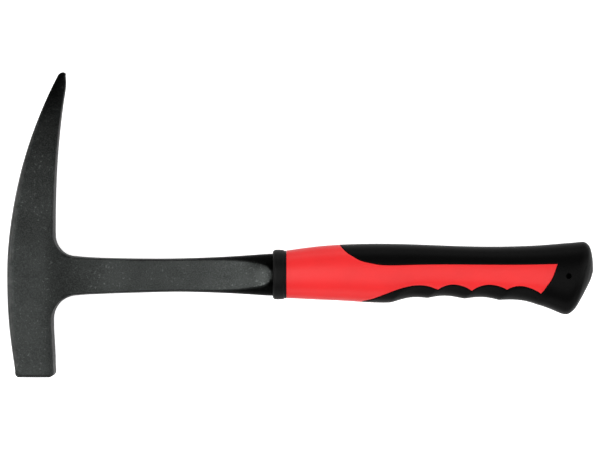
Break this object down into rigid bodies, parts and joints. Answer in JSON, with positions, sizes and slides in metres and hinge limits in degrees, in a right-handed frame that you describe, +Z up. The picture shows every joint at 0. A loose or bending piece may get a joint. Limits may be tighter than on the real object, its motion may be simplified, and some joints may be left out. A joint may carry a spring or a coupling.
{
  "type": "rock hammer",
  "caption": "Rock hammer with a long tapering pick, a square striking face, a one-piece forged shank and a two-tone moulded grip.",
  "frame": {"origin": "centre of the bounding box's underside, with the hammer lying on its cheek", "axes": "+X along the shank from the head to the butt, +Y from the striking face towards the pick's tip, +Z up through the thickness"},
  "size_m": [0.3299, 0.1714, 0.0256],
  "materials": {
    "painted_steel": "satin dark grey paint over a shot-blasted forging",
    "red_plastic": "satin red hard plastic",
    "black_rubber": "matte black soft overmould",
    "black_collar": "matte black soft overmould"
  },
  "bodies": {
    "root": {"head_and_shank_forging": "painted_steel", "grip_core": "red_plastic", "grip_overmould": "black_rubber", "front_collar": "black_collar"}
  },
  "joints": []
}
